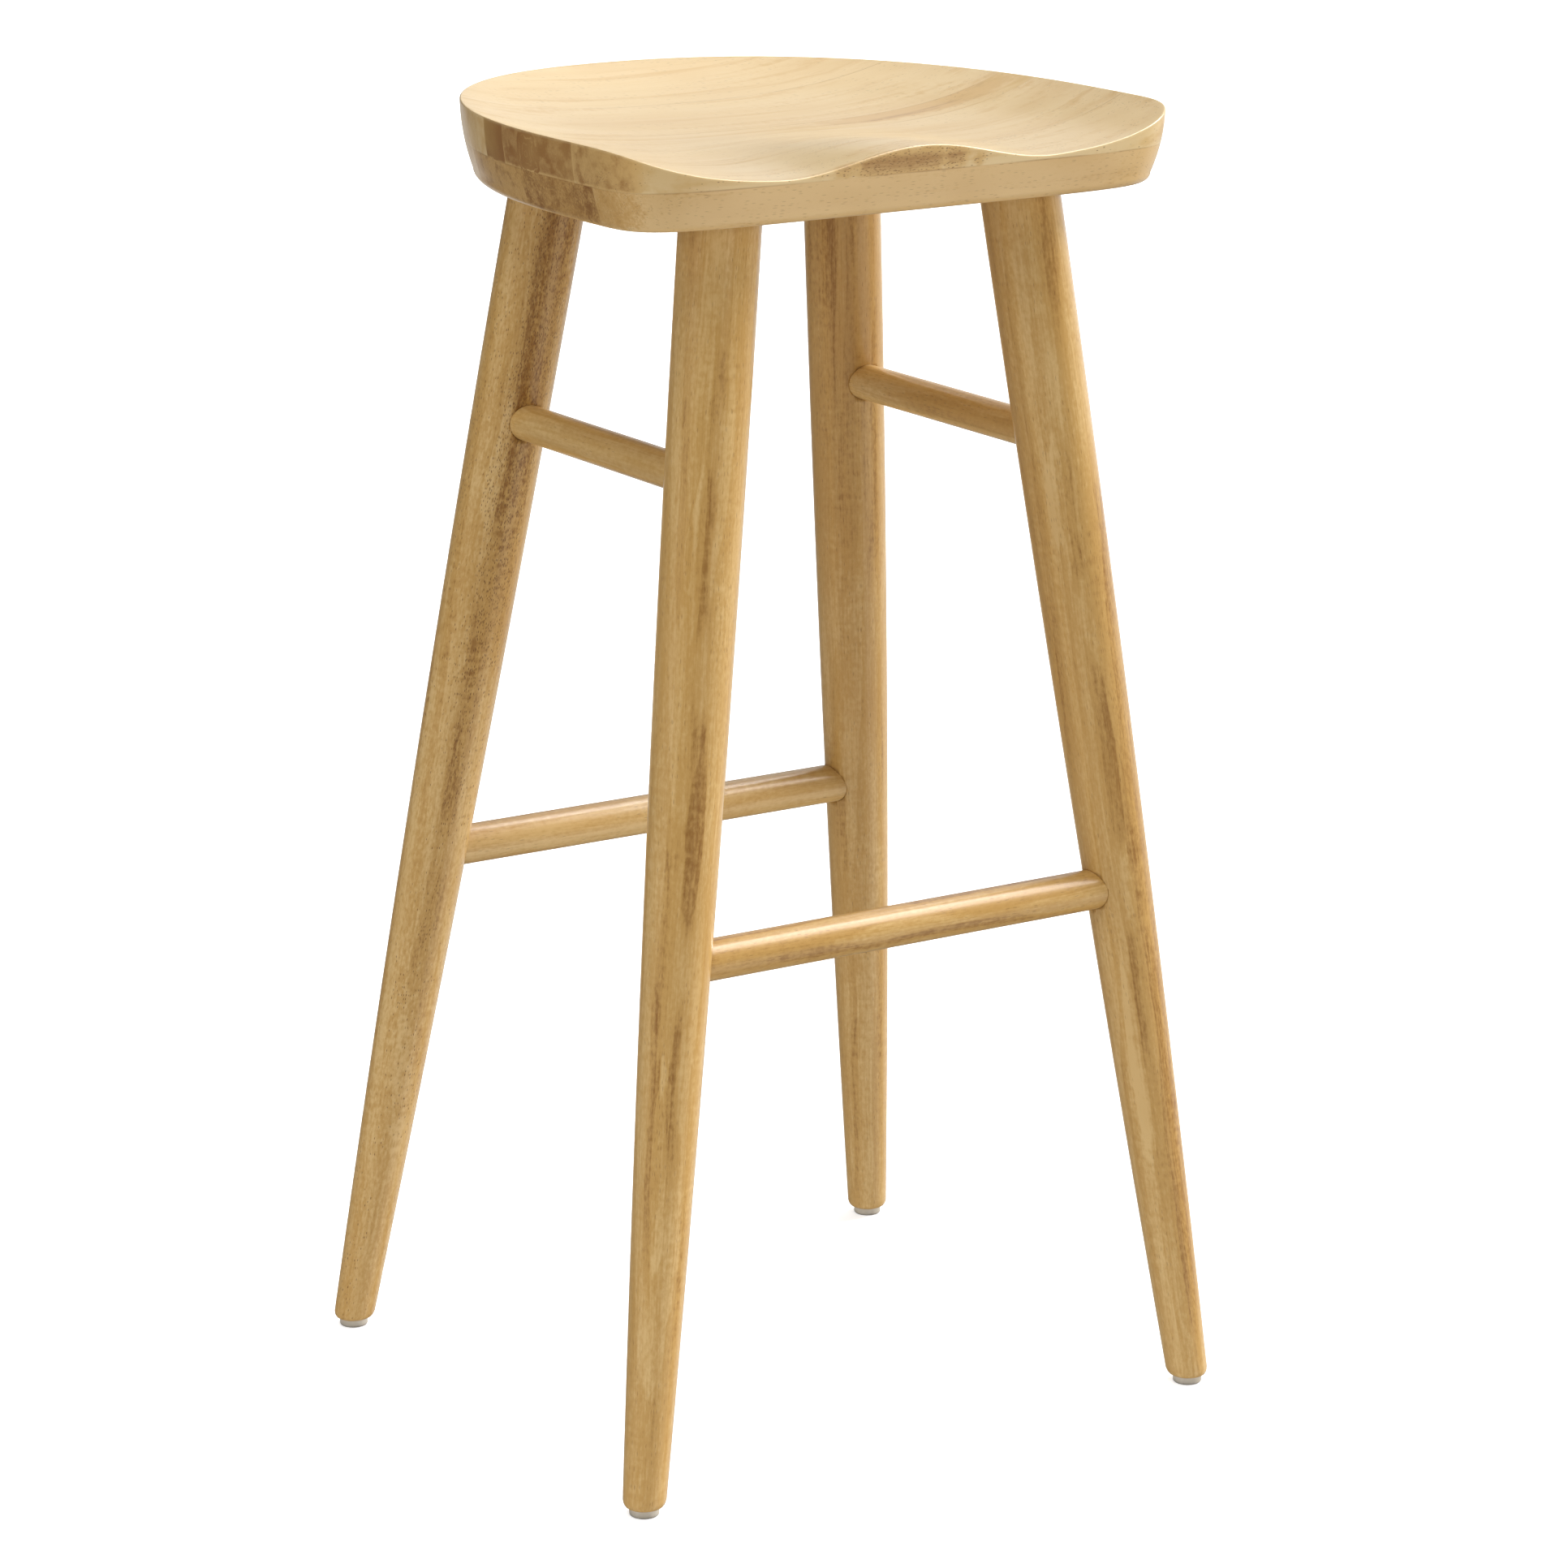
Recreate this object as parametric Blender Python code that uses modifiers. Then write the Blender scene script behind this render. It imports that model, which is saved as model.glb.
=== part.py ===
"""Bar stool with a footrest.

A carved saddle seat, glued up from two layers of boards, stands on four turned and splayed legs. The
stretchers are plain dowels in blind mortises: two low ones, the front one of which is the footrest, and
two higher ones at the sides. A nailed plastic glide sits under each foot.

Metres, +Z up. The front faces -Y. The origin is on the floor under the middle of the four feet.
"""

import math

import bmesh
import bpy
from mathutils import Matrix

# Driving dimensions.
SEAT_HEIGHT = 0.762
SEAT_THICKNESS = 0.045
SEAT_WIDTH = 0.3625
SEAT_FRONT_Y = -0.1730
SEAT_BACK_Y = 0.1755
LOWER_LAYER = 0.0225
FOOT_X = 0.1885
FOOT_Y = 0.1766
SIDE_SPLAY = math.radians(7.2)
FRONT_RAKE = math.radians(4.5)
REAR_RAKE = math.radians(8.8)
LEG_TOP_RADIUS = 0.0230
LEG_FOOT_RADIUS = 0.0121
FOOTREST_Z = 0.3085
FOOTREST_RADIUS = 0.0118
SIDE_RAIL_Z = 0.5740
SIDE_RAIL_RADIUS = 0.0107

# Outline of the seat: two half superellipses that meet at the widest line.
WIDEST_Y = -0.0870
FRONT_POWER = 6.2
BACK_POWER = 2.26

# Side wall of the seat: an arc that leans in towards the underside, then a rounded lower edge.
WALL_ARC = 0.120
LOWER_EDGE_ROUND = 0.006

# Carved top: a bowl that runs out through the front edge, with a pommel ridge on its middle line.
BOWL_DEPTH = 0.0213
BOWL_SIDE_POWER = 4.2
BOWL_BACK_POWER = 3.0
POMMEL_HEIGHT = 0.0134
POMMEL_HALF_WIDTH = 0.5 * SEAT_WIDTH / 2
POMMEL_END_Y = 0.015

# Glue joints between the boards, which run from side to side.
UPPER_JOINTS = (-0.104, -0.021, 0.008, 0.088)
LOWER_JOINTS = (-0.122, -0.040, 0.040, 0.110)
BOARD_NAMES = ("front", "second", "middle", "fourth", "rear")

# The four corners, by side (-1 left, +1 right) and end (-1 front, +1 rear).
CORNERS = {
    (-1, -1): "front_left",
    (1, -1): "front_right",
    (-1, 1): "rear_left",
    (1, 1): "rear_right",
}

# Joinery.
GAP = 0.0003
END_GAP = 0.0005
TENON_RADIUS = 0.0145
TENON_LENGTH = 0.0165
RAIL_MORTISE_DEPTH = 0.022
END_CHAMFER = 0.0015
FOOT_CHAMFER = 0.0042
FOOT_CHAMFER_WIDTH = 0.0034

# Glides and their nails.
GLIDE_RADIUS = 0.0085
GLIDE_HEIGHT = 0.005
GLIDE_ROUND = 0.0014
GLIDE_TOP_ROUND = 0.0005
NAIL_HEAD_RADIUS = 0.0036
NAIL_HEAD_HEIGHT = 0.0012
NAIL_RADIUS = 0.0012
NAIL_LENGTH = 0.019
NAIL_POINT = 0.003
RECESS_DEPTH = 0.0022

# How far the cutting boxes reach past the seat.
CUTTER_MARGIN = 0.02

# Fineness of the round shapes.
SEAT_STEPS = 72
LEG_STEPS = 24
RAIL_STEPS = 24
GLIDE_STEPS = 24
NAIL_STEPS = 10
TAPER_STEPS = 9
TOP_RINGS = (0.965, 0.91, 0.83, 0.73, 0.61, 0.47, 0.32, 0.16)

UNDERSIDE_Z = SEAT_HEIGHT - SEAT_THICKNESS
FOOT_END_Z = GLIDE_HEIGHT + GAP
SIDE_SLOPE = math.tan(SIDE_SPLAY)
FRONT_SLOPE = math.tan(FRONT_RAKE)
REAR_SLOPE = math.tan(REAR_RAKE)


def clear_scene():
    for item in list(bpy.data.objects):
        bpy.data.objects.remove(item, do_unlink=True)


def new_collection(name):
    collection = bpy.data.collections.new(name)
    bpy.context.scene.collection.children.link(collection)
    return collection


def new_object(name, mesh, collection):
    item = bpy.data.objects.new(name, mesh)
    collection.objects.link(item)
    return item


def new_cutter(name, mesh, collection):
    item = new_object(name, mesh, collection)
    item.hide_render = True
    item.display_type = "WIRE"
    return item


def set_material(item, colour, roughness, metallic=0.0):
    material = bpy.data.materials.new(item.name)
    material.use_nodes = True
    shader = material.node_tree.nodes["Principled BSDF"]
    shader.inputs["Base Color"].default_value = (*colour, 1.0)
    shader.inputs["Roughness"].default_value = roughness
    shader.inputs["Metallic"].default_value = metallic
    item.data.materials.clear()
    item.data.materials.append(material)


def shade_round(item, sharp_angle=35):
    item.data.shade_smooth()
    item.data.set_sharp_from_angle(angle=math.radians(sharp_angle))


def add_boolean(item, cutter, operation):
    modifier = item.modifiers.new(cutter.name, "BOOLEAN")
    modifier.operation = operation
    modifier.object = cutter
    modifier.solver = "EXACT"


# ---------------------------------------------------------------- turned shapes


def turned_mesh(name, profile, steps, collection):
    """A closed turned solid about Z. The profile runs down its outer side, top to bottom."""
    mesh = bpy.data.meshes.new(name)
    points = [(radius, 0.0, height) for radius, height in profile]
    edges = [(index, index + 1) for index in range(len(points) - 1)]
    mesh.from_pydata(points, edges, [])
    item = new_object(name, mesh, collection)
    screw = item.modifiers.new("Turn", "SCREW")
    screw.axis = "Z"
    screw.steps = steps
    screw.render_steps = steps
    screw.use_merge_vertices = True
    screw.merge_threshold = 0.00005
    turned = bpy.data.meshes.new_from_object(item.evaluated_get(bpy.context.evaluated_depsgraph_get()))
    turned.name = name
    bpy.data.objects.remove(item)
    bpy.data.meshes.remove(mesh)
    return turned


def cylinder_mesh(name, radius, low, high, steps):
    """A cylinder about Z between two heights."""
    mesh = bpy.data.meshes.new(name)
    build = bmesh.new()
    middle = Matrix.Translation((0, 0, (low + high) / 2))
    bmesh.ops.create_cone(
        build,
        cap_ends=True,
        segments=steps,
        radius1=radius,
        radius2=radius,
        depth=high - low,
        matrix=middle,
    )
    build.to_mesh(mesh)
    build.free()
    return mesh


# ---------------------------------------------------------------- seat


def outline_point(angle, inset):
    """A point of the seat's outline, moved in by the inset. The angle is measured from +Y towards +X."""
    across = math.sin(angle)
    along = math.cos(angle)
    half_width = SEAT_WIDTH / 2 - inset
    if along >= 0:
        reach = SEAT_BACK_Y - WIDEST_Y - inset
        power = BACK_POWER
    else:
        reach = WIDEST_Y - SEAT_FRONT_Y - inset
        power = FRONT_POWER
    radius = (abs(across / half_width) ** power + abs(along / reach) ** power) ** (-1 / power)
    return radius * across, WIDEST_Y + radius * along


def wall_inset(height):
    """How far the side wall has leaned in at a height above the underside."""
    drop = SEAT_THICKNESS - max(height, LOWER_EDGE_ROUND)
    lean = WALL_ARC - math.sqrt(WALL_ARC**2 - drop**2)
    below = max(LOWER_EDGE_ROUND - height, 0.0)
    return lean + LOWER_EDGE_ROUND - math.sqrt(LOWER_EDGE_ROUND**2 - below**2)


def top_height(x, y):
    """Height of the carved top above the underside."""
    across = abs(x) / (SEAT_WIDTH / 2)
    back = max(y - WIDEST_Y, 0.0) / (SEAT_BACK_Y - WIDEST_Y)
    ring = min((across**BACK_POWER + back**BACK_POWER) ** (1 / BACK_POWER), 1.0)
    share = back / ring if ring > 0 else 0.0
    power = BOWL_SIDE_POWER + (BOWL_BACK_POWER - BOWL_SIDE_POWER) * share
    bowl = BOWL_DEPTH * (1 - ring**power)
    beside = min(abs(x) / POMMEL_HALF_WIDTH, 1.0)
    behind = min(max((POMMEL_END_Y - y) / (POMMEL_END_Y - SEAT_FRONT_Y), 0.0), 1.0)
    ridge = POMMEL_HEIGHT * math.cos(beside * math.pi / 2) ** 2 * behind**2 * (3 - 2 * behind)
    return SEAT_THICKNESS - bowl + ridge


def rim_point(angle):
    """Where the carved top meets the leaning side wall."""
    height = SEAT_THICKNESS
    for _ in range(4):
        x, y = outline_point(angle, wall_inset(height))
        height = top_height(x, y)
    return x, y, height


def seat_column(angle):
    """The seat's points at one angle, from the underside up the wall and over the top."""
    rim_x, rim_y, rim_height = rim_point(angle)
    heights = [LOWER_EDGE_ROUND * (1 - math.cos(step * math.pi / 6)) for step in range(4)]
    heights += [LOWER_EDGE_ROUND + (rim_height - LOWER_EDGE_ROUND) * step / 3 for step in range(1, 3)]
    column = [(*outline_point(angle, wall_inset(height)), height) for height in heights]
    column.append((rim_x, rim_y, rim_height))
    for ring in TOP_RINGS:
        x = rim_x * ring
        y = WIDEST_Y + (rim_y - WIDEST_Y) * ring
        column.append((x, y, top_height(x, y)))
    return column


def seat_blank_mesh():
    """The whole carved seat as one closed solid, before it is divided into its boards."""
    build = bmesh.new()
    columns = []
    for step in range(SEAT_STEPS):
        column = seat_column(2 * math.pi * step / SEAT_STEPS)
        columns.append([build.verts.new((x, y, UNDERSIDE_Z + height)) for x, y, height in column])
    middle = build.verts.new((0, WIDEST_Y, UNDERSIDE_Z + top_height(0, WIDEST_Y)))
    for column, following in zip(columns, columns[1:] + columns[:1]):
        for low in range(len(column) - 1):
            build.faces.new((column[low], column[low + 1], following[low + 1], following[low]))
        build.faces.new((column[-1], middle, following[-1]))
    build.faces.new([column[0] for column in columns])
    bmesh.ops.recalc_face_normals(build, faces=build.faces)
    mesh = bpy.data.meshes.new("seat_blank")
    build.to_mesh(mesh)
    build.free()
    return mesh


def board_cutter(name, low_y, high_y, low_z, high_z, collection):
    """A box, wider than the seat, that keeps one board of the blank."""
    build = bmesh.new()
    bmesh.ops.create_cube(build, size=1.0)
    scale = Matrix.Diagonal((SEAT_WIDTH + 2 * CUTTER_MARGIN, high_y - low_y, high_z - low_z, 1.0))
    place = Matrix.Translation((0, (low_y + high_y) / 2, (low_z + high_z) / 2))
    build.transform(place @ scale)
    mesh = bpy.data.meshes.new(name)
    build.to_mesh(mesh)
    build.free()
    return new_cutter(name, mesh, collection)


def leg_lean(side, end):
    """The leg's slopes in X and Y. side is -1 left or +1 right, end is -1 front or +1 rear."""
    slope_y = FRONT_SLOPE if end < 0 else REAR_SLOPE
    return -side * SIDE_SLOPE, -end * slope_y


def leg_matrix(side, end):
    """Leans an upright turned shape: each level slides sideways, so its ends stay level."""
    slope_x, slope_y = leg_lean(side, end)
    lean = Matrix.Identity(4)
    lean[0][2] = slope_x
    lean[1][2] = slope_y
    return Matrix.Translation((side * FOOT_X, end * FOOT_Y, 0)) @ lean


def leg_axis(side, end, z):
    slope_x, slope_y = leg_lean(side, end)
    return side * FOOT_X + slope_x * z, end * FOOT_Y + slope_y * z


def make_seat_mortises(cutters):
    """Blind holes in the underside, one for each leg's tenon. The front ones cross a glue joint."""
    mortises = {}
    for (side, end), corner in CORNERS.items():
        low = UNDERSIDE_Z - TENON_LENGTH
        high = UNDERSIDE_Z + TENON_LENGTH + END_GAP
        name = "cut_seat_mortise_" + corner
        mesh = cylinder_mesh(name, TENON_RADIUS + GAP, low, high, LEG_STEPS)
        mesh.transform(leg_matrix(side, end))
        mortises[side, end] = new_cutter(name, mesh, cutters)
    return mortises


def make_board(name, low_y, high_y, low_z, high_z, blank, parts, cutters):
    board = new_object(name, blank.copy(), parts)
    box = board_cutter("cut_" + name, low_y, high_y, low_z, high_z, cutters)
    add_boolean(board, box, "INTERSECT")
    return board


def make_seat(parts, cutters):
    blank = seat_blank_mesh()
    mortises = make_seat_mortises(cutters)
    glue_z = UNDERSIDE_Z + LOWER_LAYER
    layers = (
        ("seat_lower", LOWER_JOINTS, UNDERSIDE_Z - CUTTER_MARGIN, glue_z - GAP / 2, (0.62, 0.44, 0.25)),
        ("seat_upper", UPPER_JOINTS, glue_z + GAP / 2, SEAT_HEIGHT + CUTTER_MARGIN, (0.76, 0.59, 0.38)),
    )
    for layer, joints, low_z, high_z, colour in layers:
        edges = (SEAT_FRONT_Y - CUTTER_MARGIN, *joints, SEAT_BACK_Y + CUTTER_MARGIN)
        for board_name, front_y, back_y in zip(BOARD_NAMES, edges[:-1], edges[1:]):
            low_y = front_y + GAP / 2
            high_y = back_y - GAP / 2
            name = f"{layer}_{board_name}"
            board = make_board(name, low_y, high_y, low_z, high_z, blank, parts, cutters)
            set_material(board, colour, roughness=0.42)
            shade_round(board)
            if layer == "seat_lower":
                for (side, end), mortise in mortises.items():
                    _, centre_y = leg_axis(side, end, UNDERSIDE_Z)
                    if low_y - TENON_RADIUS < centre_y < high_y + TENON_RADIUS:
                        add_boolean(board, mortise, "DIFFERENCE")
    bpy.data.meshes.remove(blank)


# ---------------------------------------------------------------- legs and stretchers


def leg_radius(z):
    """The leg tapers in a gentle curve, fastest near the foot."""
    down = 1 - z / UNDERSIDE_Z
    return LEG_TOP_RADIUS - (LEG_TOP_RADIUS - LEG_FOOT_RADIUS) * down**2


def leg_profile():
    shoulder_z = UNDERSIDE_Z - GAP
    tenon_z = UNDERSIDE_Z + TENON_LENGTH
    taper_low = FOOT_END_Z + FOOT_CHAMFER
    profile = [
        (0, tenon_z),
        (TENON_RADIUS - END_CHAMFER, tenon_z),
        (TENON_RADIUS, tenon_z - END_CHAMFER),
        (TENON_RADIUS, shoulder_z),
    ]
    for step in range(TAPER_STEPS + 1):
        z = shoulder_z + (taper_low - shoulder_z) * step / TAPER_STEPS
        profile.append((leg_radius(z), z))
    profile.append((leg_radius(FOOT_END_Z) - FOOT_CHAMFER_WIDTH, FOOT_END_Z))
    profile.append((0, FOOT_END_Z))
    return profile


def rail_ends(z, ends, along):
    """The two blind ends of a stretcher at height z, each inside its leg, and its fixed coordinate."""
    low_x, low_y = leg_axis(*ends[0], z)
    high_x, high_y = leg_axis(*ends[1], z)
    past = RAIL_MORTISE_DEPTH - leg_radius(z)
    if along == "x":
        return low_x - past, high_x + past, low_y
    return low_y - past, high_y + past, low_x


def rail_matrix(middle, fixed, z, along):
    """Lays a shape made about Z along X or Y."""
    if along == "x":
        return Matrix.Translation((middle, fixed, z)) @ Matrix.Rotation(math.pi / 2, 4, "Y")
    return Matrix.Translation((fixed, middle, z)) @ Matrix.Rotation(-math.pi / 2, 4, "X")


def rail_profile(radius, half):
    return [
        (0, half),
        (radius - END_CHAMFER, half),
        (radius, half - END_CHAMFER),
        (radius, 0),
        (radius, END_CHAMFER - half),
        (radius - END_CHAMFER, -half),
        (0, -half),
    ]


def make_rails(parts, cutters):
    """The four stretchers, and for each leg the cutters of the mortises that hold them."""
    rails = (
        ("footrest_front", ((-1, -1), (1, -1)), "x", FOOTREST_Z, FOOTREST_RADIUS),
        ("stretcher_rear", ((-1, 1), (1, 1)), "x", FOOTREST_Z, FOOTREST_RADIUS),
        ("stretcher_left", ((-1, -1), (-1, 1)), "y", SIDE_RAIL_Z, SIDE_RAIL_RADIUS),
        ("stretcher_right", ((1, -1), (1, 1)), "y", SIDE_RAIL_Z, SIDE_RAIL_RADIUS),
    )
    mortises = {corner: [] for corner in CORNERS}
    for name, ends, along, z, radius in rails:
        low, high, fixed = rail_ends(z, ends, along)
        half = (high - low) / 2
        place = rail_matrix((low + high) / 2, fixed, z, along)
        rail = new_object(name, turned_mesh(name, rail_profile(radius, half), RAIL_STEPS, parts), parts)
        rail.matrix_world = place
        set_material(rail, (0.66, 0.46, 0.25), roughness=0.38)
        shade_round(rail)
        hole_name = "cut_mortises_" + name
        hole = cylinder_mesh(hole_name, radius + GAP, -half - END_GAP, half + END_GAP, RAIL_STEPS)
        cutter = new_cutter(hole_name, hole, cutters)
        cutter.matrix_world = place
        for leg in ends:
            mortises[leg].append(cutter)
    return mortises


def make_legs(parts, cutters, mortises):
    profile = leg_profile()
    for (side, end), corner in CORNERS.items():
        name = "leg_" + corner
        mesh = turned_mesh(name, profile, LEG_STEPS, parts)
        mesh.transform(leg_matrix(side, end))
        leg = new_object(name, mesh, parts)
        set_material(leg, (0.60, 0.41, 0.22), roughness=0.40)
        shade_round(leg)
        for cutter in mortises[side, end]:
            add_boolean(leg, cutter, "DIFFERENCE")
        x, y = leg_axis(side, end, GLIDE_HEIGHT)
        hole_name = "cut_nail_" + name
        hole = cylinder_mesh(hole_name, NAIL_RADIUS + GAP, 0, RECESS_DEPTH + NAIL_LENGTH + GAP, NAIL_STEPS)
        nail_hole = new_cutter(hole_name, hole, cutters)
        nail_hole.location = (x, y, 0)
        add_boolean(leg, nail_hole, "DIFFERENCE")


# ---------------------------------------------------------------- glides


def glide_profile():
    """The ring-shaped section of a glide: a rounded puck with a countersunk nail hole."""
    hole = NAIL_RADIUS + GAP
    recess = NAIL_HEAD_RADIUS + GAP
    profile = [
        (hole, GLIDE_HEIGHT),
        (GLIDE_RADIUS - GLIDE_TOP_ROUND, GLIDE_HEIGHT),
        (GLIDE_RADIUS, GLIDE_HEIGHT - GLIDE_TOP_ROUND),
    ]
    for step in range(4):
        turn = step * math.pi / 6
        radius = GLIDE_RADIUS - GLIDE_ROUND * (1 - math.cos(turn))
        profile.append((radius, GLIDE_ROUND * (1 - math.sin(turn))))
    profile += [(recess, 0), (recess, RECESS_DEPTH), (hole, RECESS_DEPTH), (hole, GLIDE_HEIGHT)]
    return profile


def nail_profile():
    top = RECESS_DEPTH - GAP + NAIL_LENGTH
    head_top = RECESS_DEPTH - GAP
    return [
        (0, top),
        (NAIL_RADIUS, top - NAIL_POINT),
        (NAIL_RADIUS, head_top),
        (NAIL_HEAD_RADIUS, head_top),
        (NAIL_HEAD_RADIUS, head_top - NAIL_HEAD_HEIGHT),
        (0, head_top - NAIL_HEAD_HEIGHT),
    ]


def make_glides(parts):
    for (side, end), corner in CORNERS.items():
        x, y = leg_axis(side, end, GLIDE_HEIGHT)
        name = "glide_" + corner
        glide = new_object(name, turned_mesh(name, glide_profile(), GLIDE_STEPS, parts), parts)
        glide.location = (x, y, 0)
        set_material(glide, (0.74, 0.72, 0.66), roughness=0.45)
        shade_round(glide)
        name = "glide_nail_" + corner
        nail = new_object(name, turned_mesh(name, nail_profile(), NAIL_STEPS, parts), parts)
        nail.location = (x, y, 0)
        set_material(nail, (0.55, 0.55, 0.56), roughness=0.30, metallic=1.0)
        shade_round(nail)


def main():
    clear_scene()
    parts = new_collection("bar_stool")
    cutters = new_collection("cutters")
    make_seat(parts, cutters)
    mortises = make_rails(parts, cutters)
    make_legs(parts, cutters, mortises)
    make_glides(parts)


main()
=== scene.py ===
"""Bar stool with a footrest: the finished look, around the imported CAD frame.

Every CAD solid is replaced by a finely meshed piece of the same size and place, with a procedural
material of its own kind: lacquered wood, moulded plastic or bright steel.
Metres, +Z up, the stool's front faces -Y.
"""

import math

import bmesh
import bpy
import numpy as np
from mathutils import Matrix, Vector


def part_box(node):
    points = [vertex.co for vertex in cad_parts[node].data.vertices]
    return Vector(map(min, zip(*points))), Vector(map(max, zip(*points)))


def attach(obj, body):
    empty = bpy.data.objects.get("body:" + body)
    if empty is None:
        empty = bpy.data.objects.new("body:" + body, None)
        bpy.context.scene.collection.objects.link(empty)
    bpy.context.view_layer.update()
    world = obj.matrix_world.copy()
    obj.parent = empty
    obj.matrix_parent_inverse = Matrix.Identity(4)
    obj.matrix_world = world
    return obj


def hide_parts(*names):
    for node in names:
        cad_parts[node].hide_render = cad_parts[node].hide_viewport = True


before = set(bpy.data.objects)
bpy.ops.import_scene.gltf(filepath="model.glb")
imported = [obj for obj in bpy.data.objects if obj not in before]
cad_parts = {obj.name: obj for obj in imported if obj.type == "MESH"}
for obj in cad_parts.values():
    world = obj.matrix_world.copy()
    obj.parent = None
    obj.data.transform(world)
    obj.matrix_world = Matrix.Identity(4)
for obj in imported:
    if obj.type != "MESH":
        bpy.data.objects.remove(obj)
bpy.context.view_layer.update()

# ---------------------------------------------------------------- sizes

# Camera: at the photo's angle, a little above the seat, in front of it and to its left.
CAMERA_PLACE = (-1.5634, -2.5373, 1.1622)
CAMERA_YAW = math.radians(31.9)
CAMERA_PITCH = math.radians(15.134)
CAMERA_ROLL = math.radians(-0.23)
CAMERA_LENS = 120.47

# The frame's boxes don't say how things curve, so the sizes from here to the nails are the part's own.
# Only the roundings of the rim, the foot and the nail's head are finer than in the part.

# Seat outline: two half superellipses that meet at the widest line.
SEAT_WIDTH = 0.3625
SEAT_FRONT_Y = -0.1730
SEAT_BACK_Y = 0.1755
SEAT_THICKNESS = 0.045
WIDEST_Y = -0.0870
FRONT_POWER = 6.2
BACK_POWER = 2.26

# Side wall of the seat, and the rounding of its two edges.
WALL_ARC = 0.120
LOWER_EDGE_ROUND = 0.006
RIM_ROUND = 0.0013

# Carved top: a bowl that runs out through the front edge, with a pommel ridge on its middle line.
BOWL_DEPTH = 0.0213
BOWL_SIDE_POWER = 4.2
BOWL_BACK_POWER = 3.0
POMMEL_HEIGHT = 0.0134
POMMEL_HALF_WIDTH = 0.5 * SEAT_WIDTH / 2
POMMEL_END_Y = 0.015

# Legs, stretchers and glides.
LEG_TOP_RADIUS = 0.0230
LEG_FOOT_RADIUS = 0.0121
TENON_RADIUS = 0.0145
TENON_LENGTH = 0.0165
END_ROUND = 0.0015
FOOT_CHAMFER = 0.0042
FOOT_CHAMFER_WIDTH = 0.0034
FOOT_WIDTH_POWER = 0.9
FOOT_HEIGHT_POWER = 1.1
GLIDE_ROUND = 0.0014
GLIDE_TOP_ROUND = 0.0005
NAIL_HEAD_RADIUS = 0.0036
NAIL_FLAT_RADIUS = NAIL_HEAD_RADIUS * 0.8
NAIL_HEAD_HEIGHT = 0.0012
NAIL_RADIUS = 0.0012
NAIL_POINT = 0.003
NAIL_CROWN = 0.0003
RECESS_DEPTH = 0.0022

# The gap round a tenon, a dowel or a nail in its hole, narrower than in the part so that it doesn't show.
FIT_GAP = 0.00012

# How far the shapes that cut the seat's mortises reach below it.
CUTTER_OVERHANG = 0.017

# Glue lines, and how far the rim's wear and its painted highlight reach.
SEAM_HALF_WIDTH = 0.0004
RIM_WEAR_AND_HIGHLIGHT_REACH = 0.004

# How often the rim's height is worked out again, until it settles.
RIM_ROUNDS = 6

# Faces that meet at more than this angle keep a crisp edge between them.
SHARP_ANGLE = math.radians(35)

# Fineness of the meshes.
SEAT_STEPS = 360
SEAT_EDGE_STEPS = 6
SEAT_WALL_STEPS = 14
SEAT_RIM_STEPS = 6
SEAT_TOP_STEPS = 46
SEAT_TOP_CROWDING = 1.15
LEG_STEPS = 96
LEG_TAPER_STEPS = 150
FOOT_STEPS = 5
RAIL_STEPS = 64
RAIL_LENGTH_STEPS = 40
GLIDE_STEPS = 64
GLIDE_EDGE_STEPS = 6
NAIL_STEPS = 24

BOARD_NAMES = ("front", "second", "middle", "fourth", "rear")
CORNERS = {
    (-1, -1): "front_left",
    (1, -1): "front_right",
    (-1, 1): "rear_left",
    (1, 1): "rear_right",
}

# Each stretcher, with the corners of the two legs that hold it.
RAILS = {
    "footrest_front": ((-1, -1), (1, -1)),
    "stretcher_rear": ((-1, 1), (1, 1)),
    "stretcher_left": ((-1, -1), (-1, 1)),
    "stretcher_right": ((1, -1), (1, 1)),
}

# Places read from the frame.
UNDERSIDE_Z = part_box("seat_lower_middle")[0].z
GLUE_Z = (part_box("seat_lower_middle")[1].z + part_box("seat_upper_middle")[0].z) / 2
GLIDE_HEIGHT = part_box("glide_front_left")[1].z
GLIDE_RADIUS = (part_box("glide_front_left")[1].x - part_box("glide_front_left")[0].x) / 2


# ---------------------------------------------------------------- mesh helpers


def new_piece(name, build):
    """A smooth shaded mesh object from a bmesh."""
    mesh = bpy.data.meshes.new(name)
    build.to_mesh(mesh)
    build.free()
    mesh.shade_smooth()
    mesh.set_sharp_from_angle(angle=SHARP_ANGLE)
    piece = bpy.data.objects.new(name, mesh)
    bpy.context.scene.collection.objects.link(piece)
    return piece


def new_ring(build, radius, z, steps):
    """A level ring of vertices about Z. On the axis it is one vertex, repeated."""
    if radius == 0:
        return [build.verts.new((0, 0, z))] * steps
    ring = []
    for step in range(steps):
        angle = 2 * math.pi * step / steps
        ring.append(build.verts.new((radius * math.cos(angle), radius * math.sin(angle), z)))
    return ring


def turned(profile, steps, place=None):
    """A closed turned solid about Z. The profile runs down its outer side, from the axis back to the axis."""
    build = bmesh.new()
    rings = [new_ring(build, radius, z, steps) for radius, z in profile]
    for upper, lower in zip(rings, rings[1:]):
        for step in range(steps):
            following = (step + 1) % steps
            corners = [upper[step], lower[step], lower[following], upper[following]]
            face = list(dict.fromkeys(corners))
            if len(face) > 2:
                build.faces.new(face)
    if place:
        build.transform(place)
    bmesh.ops.recalc_face_normals(build, faces=build.faces)
    return build


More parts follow.
